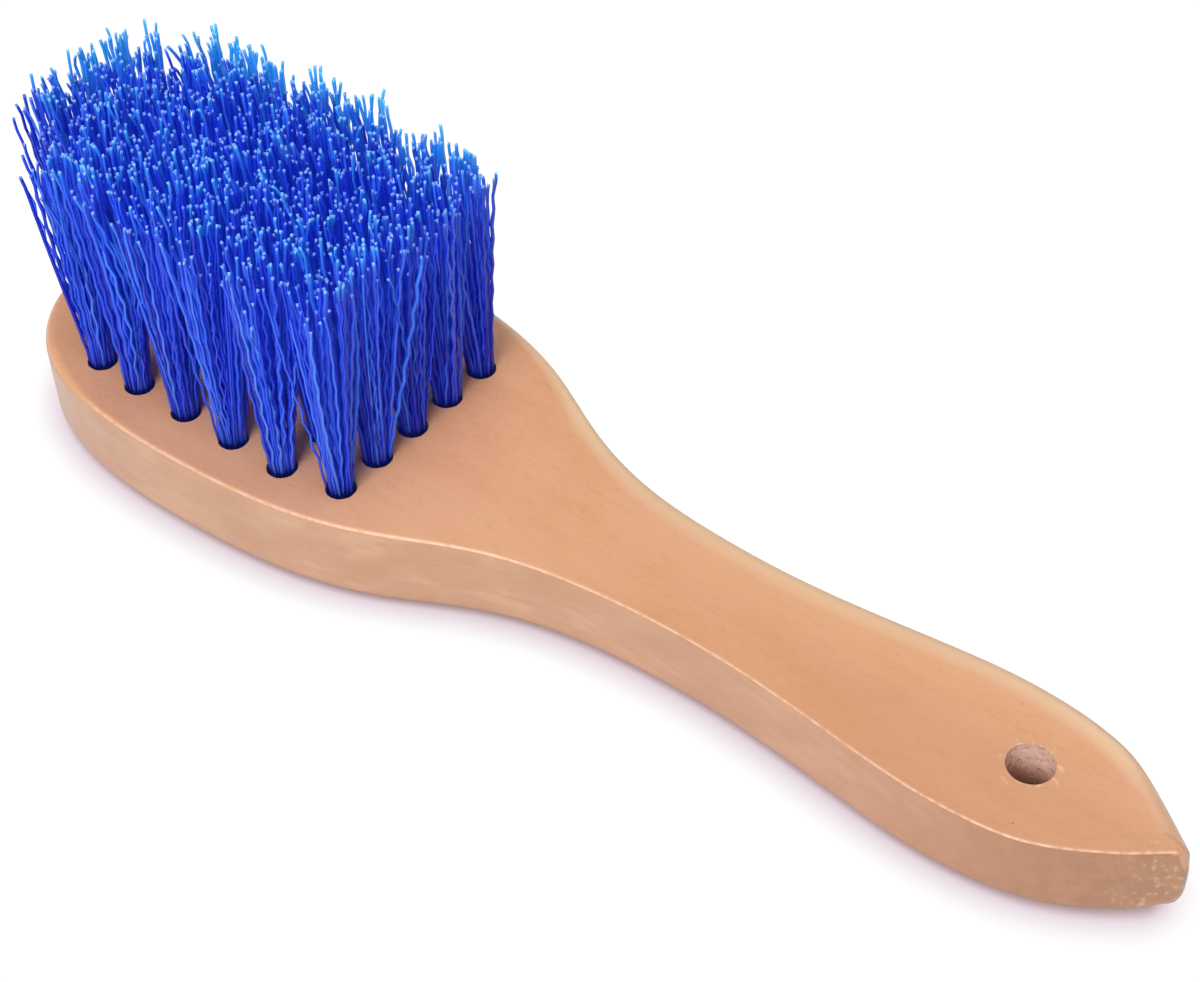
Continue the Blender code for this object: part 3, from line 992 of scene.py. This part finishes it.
@dataclass(frozen=True)
class Tuft:
    """One tuft: crimped filaments that fan out of their hole, folded round a wire anchor.

    A range holds the least and the most of a random factor, and a band the start and length of
    an S-curve.
    """

    head_thickness: float = 0.0184
    hole_depth: float = 0.0120
    clearance: float = 0.0003
    foot_radius: float = 0.00266
    foot_sides: int = 12
    foot_sunk: float = 0.0010
    rooted: float = 0.0015
    filament_radius: float = 0.00034
    radius_range: tuple = (0.86, 1.12)
    filament_count: int = 62
    length: float = 0.0434
    longest: float = 0.0466
    trim_slack: float = 0.4 * MM
    spread_of_clumps: float = 0.0019
    spread_of_trim: float = 0.0010
    short_share: float = 0.16
    shortfall: float = 0.0055
    stray_share: float = 0.08
    stray_length: float = 0.0030
    stray_reach: float = 0.0030
    stray_bow: float = 3.0
    lean: tuple = (-0.0046, 0.0024)
    gather: tuple = (0.035, -0.090)
    fan: float = 0.0085
    fan_power: float = 1.24
    clumps: int = 13
    clump_pull: float = 0.56
    pull_range: tuple = (0.4, 1.4)
    wander: float = 0.0009
    bow: float = 0.0005
    curve_range: tuple = (0.94, 1.18)
    crimp: float = 0.00022
    crimp_range: tuple = (0.5, 1.4)
    crimp_turn: float = 1.2
    crimp_growth: float = 8.0
    tip_hook: float = 0.00025
    cut_length: float = 0.00060
    cut_share: float = 0.6
    cut_range: tuple = (0.30, 1.0)
    segments: int = 16
    segment_jitter: float = 0.5
    segment_gap: float = 0.3
    sides: int = 3
    mass_centre: tuple = (0.0010, -0.0010)
    mass_half: tuple = (0.0475, 0.0255)
    mass_power: int = 4
    outside_share: float = 0.30
    outer_power: int = 3
    outer_band: tuple = (0.80, 0.35)
    facing_band: tuple = (0.1, 0.8)
    height_band: tuple = (0.45, 0.55)
    backlit_from: tuple = (-0.55, 0.84)
    lit_from: tuple = (0.75, -0.66)
    # Share of painted light on the outer filaments that face the fill lamp.
    lit_share: float = 0.40
    above_start: float = 0.6 * MM
    above_reach: float = 2.2 * MM
    through_light_shares: tuple = (0.75, 0.35, 0.12)
    through_light_most: float = 0.95
    anchor_length: float = 0.0070
    anchor_height: float = 0.0022
    anchor_thickness: float = 0.0005
    fold_thickness: float = 0.0013
    anchor_turn: float = math.radians(45)

    def filament_paths(self, x: float, y: float, rng: np.random.Generator) -> dict[str, np.ndarray]:
        """Work out every filament's centre line.

        A filament starts on a sunflower spiral in the tuft's foot. Its tip lies in the same
        direction at fan * reach ^ power, drawn towards a clump and moved by the tuft's lean. A tip
        outside the mass's outline, |x / a|^p + |y / b|^p = 1 about its centre, keeps only a share
        of what it juts out by. From foot to tip the filament moves by share of height ^ its own
        curve, plus a bow that goes by the sine of the height and a crimp that swings to and fro.

        Args:
            x: Place of the tuft along X.
            y: Place of the tuft along Y.
            rng: Source of the tuft's random numbers.

        Returns:
            The paths, of shape (n, rings, 3), and the numbers that the finish reads, of shape (n, rings): how
            light the filament is, from its random tone and the painted light where it faces the fill lamp,
            the share of its length, how much painted glint a place takes as the trimmed tip, and how much
            painted light comes through it.
        """
        n = self.filament_count
        at = np.array((x, y))
        spiral = np.arange(n) + 0.5
        angle = spiral * math.pi * (3 - math.sqrt(5)) + rng.uniform(0, math.tau)
        reach = np.sqrt(spiral / n)[:, None]
        heading = np.column_stack([np.cos(angle), np.sin(angle)])
        base = heading * reach * (self.foot_radius - self.filament_radius)
        own = heading * reach**self.fan_power * self.fan
        centres = own[rng.choice(n, self.clumps, replace=False)]
        nearest = np.argmin(np.linalg.norm(own[:, None] - centres[None], axis=2), axis=1)
        pull = self.clump_pull * rng.uniform(*self.pull_range, (n, 1))
        tip = blend(own, centres[nearest], pull) + rng.normal(0, self.wander, (n, 2))
        length = self.length + rng.normal(0, self.spread_of_clumps, self.clumps)[nearest]
        length += rng.normal(0, self.spread_of_trim, n)
        length -= (rng.random(n) < self.short_share) * self.shortfall * rng.random(n)
        stray = rng.random(n) < self.stray_share
        strayed = length + stray * self.stray_length * rng.random(n)
        length = np.minimum(strayed, self.longest - self.trim_slack * rng.random(n))
        tip += stray[:, None] * rng.normal(0, self.stray_reach, (n, 2))
        tip += np.array(self.lean) + np.array(self.gather) * at
        from_middle = tip + at - self.mass_centre
        powers = np.abs(from_middle / self.mass_half) ** self.mass_power
        out = powers.sum(axis=1, keepdims=True) ** (1 / self.mass_power)
        tip += from_middle * (np.minimum(1, (1 + self.outside_share * (out - 1)) / out) - 1)
        jitter = rng.uniform(0, self.segment_jitter, (n, 1)) / self.segments
        even = np.linspace(0, 1, self.segments)[None] + jitter
        share = np.clip(np.column_stack([np.zeros(n), even[:, 1:], np.ones(n)]), 0, 1)
        share[:, -2] = 1 - self.cut_length / length
        share[:, 1:-2] = np.minimum(share[:, 1:-2], share[:, -2:-1] - self.segment_gap / self.segments)
        curve = share ** rng.uniform(*self.curve_range, (n, 1))
        side = rng.uniform(0, math.tau, (n, 1)) + share * rng.normal(0, self.crimp_turn, (n, 1))
        swing = self.crimp * rng.uniform(*self.crimp_range, (n, 1)) * np.minimum(1, share * self.crimp_growth)
        swing = swing * (-1.0) ** np.arange(share.shape[1])
        swing[:, -2:] = swing[:, -3:-2] * (1, self.cut_share)
        moved = blend(base[:, None], tip[:, None], curve[..., None])
        moved += swing[..., None] * np.stack([np.cos(side), np.sin(side)], axis=-1)
        bow = self.bow * (1 + (self.stray_bow - 1) * stray)[:, None, None] * rng.normal(0, 1, (n, 1, 2))
        moved += bow * np.sin(math.pi * share)[..., None]
        moved[:, -2:] += rng.normal(0, self.tip_hook, (n, 1, 2)) * np.array([(self.cut_share,), (1.0,)])
        moved += at
        height = share * length[:, None]
        height[:, 0] = -self.rooted
        backlit, facing = self.light(moved, share)
        # Painted light through the backlit outer filaments, the tips above the trim and the strays.
        above = np.clip((height - self.length - self.above_start) / self.above_reach, 0, 1)
        by_back, by_height, by_stray = self.through_light_shares
        through_lit = by_back * backlit + by_height * above + by_stray * stray[:, None] * share
        last = np.arange(share.shape[1]) == share.shape[1] - 1
        return {
            "paths": np.concatenate([moved, (self.head_thickness + height)[..., None]], axis=2),
            # Random tone, plus painted light on the outer filaments that face the fill lamp.
            "shade": rng.uniform(0, 1, (n, 1)) + self.lit_share * facing,
            "along": share,
            # Painted glint on the last ring, the trimmed tip.
            "cut_glint": last * rng.uniform(*self.cut_range, (n, 1)),
            "open": np.clip(through_lit, 0, self.through_light_most),
        }

    def light(self, places: np.ndarray, share: np.ndarray) -> tuple[np.ndarray, np.ndarray]:
        """Work out how the light falls on the outer filaments of the whole mass.

        Args:
            places: Places along X and Y, of shape (n, rings, 2).
            share: Share of each filament's length, of shape (n, rings).

        Returns:
            How much each place is lit through from behind and how much it faces the fill lamp,
            from 0 to 1 and of shape (n, rings).
        """
        away = (places - self.mass_centre) / self.mass_half
        power = self.outer_power
        outer = smooth_step((np.abs(away) ** power).sum(axis=2) ** (1 / power), *self.outer_band)
        behind = smooth_step(away @ np.array(self.backlit_from), *self.facing_band)
        facing = smooth_step(away @ np.array(self.lit_from), *self.facing_band)
        return outer * smooth_step(share, *self.height_band) * behind, outer * facing

    def bar(self) -> tuple[np.ndarray, np.ndarray]:
        """Build the anchor, a flat bar on edge across the tuft's axis.

        Returns:
            Its eight corners and six faces.
        """
        low = self.head_thickness - self.hole_depth + self.clearance + self.fold_thickness
        square = ((-0.5, -0.5), (0.5, -0.5), (0.5, 0.5), (-0.5, 0.5))
        corners = np.array([(i, j, k) for k in (0, 1) for i, j in square])
        sized = corners * (self.anchor_length, self.anchor_thickness, self.anchor_height)
        c, s = math.cos(self.anchor_turn), math.sin(self.anchor_turn)
        turned = sized @ np.array([(c, s, 0), (-s, c, 0), (0, 0, 1)])
        return turned + (0, 0, low), np.concatenate([ring_faces(2, 4), [(3, 2, 1, 0), (4, 5, 6, 7)]])

    def foot(self) -> tuple[np.ndarray, np.ndarray]:
        """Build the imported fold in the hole, a closed drum about the tuft's axis.

        Returns:
            Its corners and its faces, which are quads across its ends too.
        """
        sides = self.foot_sides
        angle = math.tau * np.arange(sides) / sides
        ring = self.foot_radius * np.column_stack([np.cos(angle), np.sin(angle)])
        low = self.head_thickness - self.hole_depth + self.clearance
        high = self.head_thickness - self.foot_sunk
        ends = [np.column_stack([ring, np.full(sides, height)]) for height in (low, high)]
        i = np.arange(sides // 2 - 1)
        across = np.column_stack([i, i + 1, sides - 2 - i, sides - 1 - i])
        return np.concatenate(ends), np.concatenate([ring_faces(2, sides), across[:, ::-1], across + sides])

    def build(self, name: str, x: float, y: float, finishes: list[Material], seed: int) -> Object:
        """Build and dress one tuft.

        Args:
            name: The CAD node that the tuft stands for.
            x: Its place along X.
            y: Its place along Y.
            finishes: The filament and the anchor wire finish.
            seed: Seed of its random numbers.

        Returns:
            The tuft.
        """
        rng = np.random.default_rng(seed)
        grown = self.filament_paths(x, y, rng)
        spin = rng.uniform(0, math.tau, self.filament_count)
        radius = self.filament_radius * rng.uniform(*self.radius_range, self.filament_count)
        rods, rod_faces = rod_bundle(grown["paths"], radius, spin, self.sides)
        foot, foot_faces = self.foot()
        bar, bar_faces = self.bar()
        points = np.concatenate([rods, foot + (x, y, 0), bar + (x, y, 0)])
        faces = [*rod_faces, foot_faces + len(rods), bar_faces + len(rods) + len(foot)]
        mesh = mesh_of(name + "_visual", points, faces, [True, False, False, False])
        steel = np.zeros(len(mesh.polygons), np.int32)
        steel[-len(bar_faces) :] = 1
        mesh.polygons.foreach_set("material_index", steel)
        rest = np.zeros(len(foot) + len(bar))
        for label in ("shade", "along", "cut_glint", "open"):
            add_attribute(mesh, label, np.concatenate([np.repeat(grown[label].ravel(), self.sides), rest]))
        return place_object(name + "_visual", mesh, finishes)


# Stage


def stand(thing: Object, axes: tuple, place: tuple) -> None:
    """Link a camera or a lamp to the scene.

    Args:
        thing: The camera or lamp.
        axes: Directions of its own X, Y and Z.
        place: Where it stands.
    """
    pose = np.eye(4)
    pose[:3] = np.column_stack([*axes, place])
    thing.matrix_world = Matrix(pose.tolist())
    bpy.context.scene.collection.objects.link(thing)


@dataclass(frozen=True)
class Viewpoint:
    """Where the photograph was taken from."""

    place: tuple = (0.26066, -0.22784, 0.32289)
    azimuth: float = 0.6744
    elevation: float = 0.7941
    roll: float = -0.0229
    lens: float = 72.0
    sensor: float = 36.0
    nearest: float = 0.01
    farthest: float = 50.0

    def build(self) -> None:
        """Set up the scene's camera from its azimuth, elevation and roll."""
        a, e, r = self.azimuth, self.elevation, self.roll
        back = np.array([math.sin(a) * math.cos(e), -math.cos(a) * math.cos(e), math.sin(e)])
        level = np.array([math.cos(a), math.sin(a), 0.0])
        up = np.cross(back, level)
        right = math.cos(r) * level + math.sin(r) * up
        upright = -math.sin(r) * level + math.cos(r) * up
        data = bpy.data.cameras.new("camera")
        data.lens, data.sensor_width = self.lens, self.sensor
        data.clip_start, data.clip_end = self.nearest, self.farthest
        camera = bpy.data.objects.new("camera", data)
        stand(camera, (right, upright, back), self.place)
        bpy.context.scene.camera = camera


@dataclass(frozen=True)
class Softbox:
    """One square area lamp."""

    name: str
    place: tuple
    size: float
    power: float
    aim: tuple = (0.05, 0.0, 0.02)

    def build(self) -> None:
        """Hang the lamp and point it at its aim."""
        data = bpy.data.lights.new(self.name, "AREA")
        data.shape, data.size, data.energy = "SQUARE", self.size, self.power
        away = np.array(self.place) - np.array(self.aim)
        away /= np.linalg.norm(away)
        side = np.cross((0.0, 1.0, 0.0), away)
        side /= np.linalg.norm(side)
        stand(bpy.data.objects.new(self.name, data), (side, np.cross(away, side), away), self.place)


@dataclass(frozen=True)
class Studio:
    """White floor, even sky and soft lamps."""

    sky: float = 0.30
    floor_half: float = 4.0
    floor_colour: tuple = (0.85, 0.85, 0.80, 1.0)
    floor_white: tuple = (1.05, 1.05, 1.05, 1.0)
    contact_shade: tuple = (0.36, 0.23, 0.20, 1.0)
    mauve_shade: tuple = (0.72, 0.58, 0.65, 1.0)
    contact_reach: float = 0.0100
    contact_samples: int = 24
    touching: Span = Span(0.10, 0.60)
    clear: Span = Span(0.30, 0.98)
    lamps: tuple = (
        Softbox("key", (0.15, -0.20, 2.50), 1.20, 14.0),
        Softbox("fill", (0.45, -1.85, 1.65), 1.20, 41.0),
        Softbox("back", (0.15, 2.05, 1.45), 1.40, 11.0),
    )

    def build_sky(self) -> None:
        """Build the even sky, which shows as plain white to the camera."""
        world = bpy.data.worlds.new("sky")
        bpy.context.scene.world = world
        world.use_nodes = True
        s = Shader(world.node_tree)
        s.tree.nodes.clear()
        path = s.put("LightPath", {})
        seen = s.most(path["Is Camera Ray"], path["Is Transmission Ray"])
        sky = s.put("Background", {"Color": WHITE, "Strength": self.sky})[0]
        white = s.put("Background", {"Color": WHITE, "Strength": 1.0})[0]
        s.put("OutputWorld", {0: s.put("MixShader", {0: seen, 1: sky, 2: white})[0]})

    def build_floor(self) -> None:
        """Build the floor: matt for the light it returns, and white with a contact shade to the camera."""
        made = bpy.data.materials.new("floor")
        made.use_nodes = True
        s = Shader(made.node_tree)
        s.tree.nodes.clear()
        reach = {"Distance": self.contact_reach}
        near = s.put("AmbientOcclusion", reach, samples=self.contact_samples)["AO"]
        touching = s.mix(self.touching.rise(s, near), self.contact_shade, self.mauve_shade)
        shaded = s.mix(self.clear.rise(s, near), touching, self.floor_white)
        white = s.put("Emission", {"Color": shaded, "Strength": 1.0})[0]
        matt = s.put("BsdfDiffuse", {"Color": self.floor_colour})[0]
        path = s.put("LightPath", {})
        mirrored = s.most(path["Is Glossy Ray"], path["Is Transmission Ray"])
        seen = s.most(path["Is Camera Ray"], mirrored)
        s.put("OutputMaterial", {0: s.put("MixShader", {0: seen, 1: matt, 2: white})[0]})
        h = self.floor_half
        corners = np.array([(-h, -h, 0.0), (h, -h, 0.0), (h, h, 0.0), (-h, h, 0.0)])
        mesh = mesh_of("floor", corners, [np.array([(0, 1, 2, 3)])], [False])
        place_object("floor", mesh, [made])

    def build(self) -> None:
        """Build the sky, the floor and the lamps."""
        self.build_sky()
        self.build_floor()
        for lamp in self.lamps:
            lamp.build()


def main() -> None:
    """Build the camera, the stage and each piece of the brush, and report them."""
    logging.basicConfig(level=logging.INFO, format="%(message)s")
    bpy.context.scene.view_settings.view_transform = "Standard"
    Viewpoint().build()
    Studio().build()
    field = TuftField()
    block = Block()
    grain = WoodGrain().group()
    lacquer = LacqueredWood().material(grain, block.hang_hole_x, block.nose_x)
    body = block.build(field, lacquer, BoredWood().material(grain))
    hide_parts("wooden_block")
    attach(body, BODY)
    log.info("%s: %d faces", body.name, len(body.data.polygons))
    finishes = [Filament().material(), AnchorWire().material()]
    tuft = Tuft()
    for number, (name, x, y) in enumerate(field.places()):
        piece = tuft.build(name, x, y, finishes, FIRST_SEED + number)
        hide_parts(name)
        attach(piece, BODY)
        log.info("%s: %d faces", piece.name, len(piece.data.polygons))


if __name__ == "__main__":
    main()
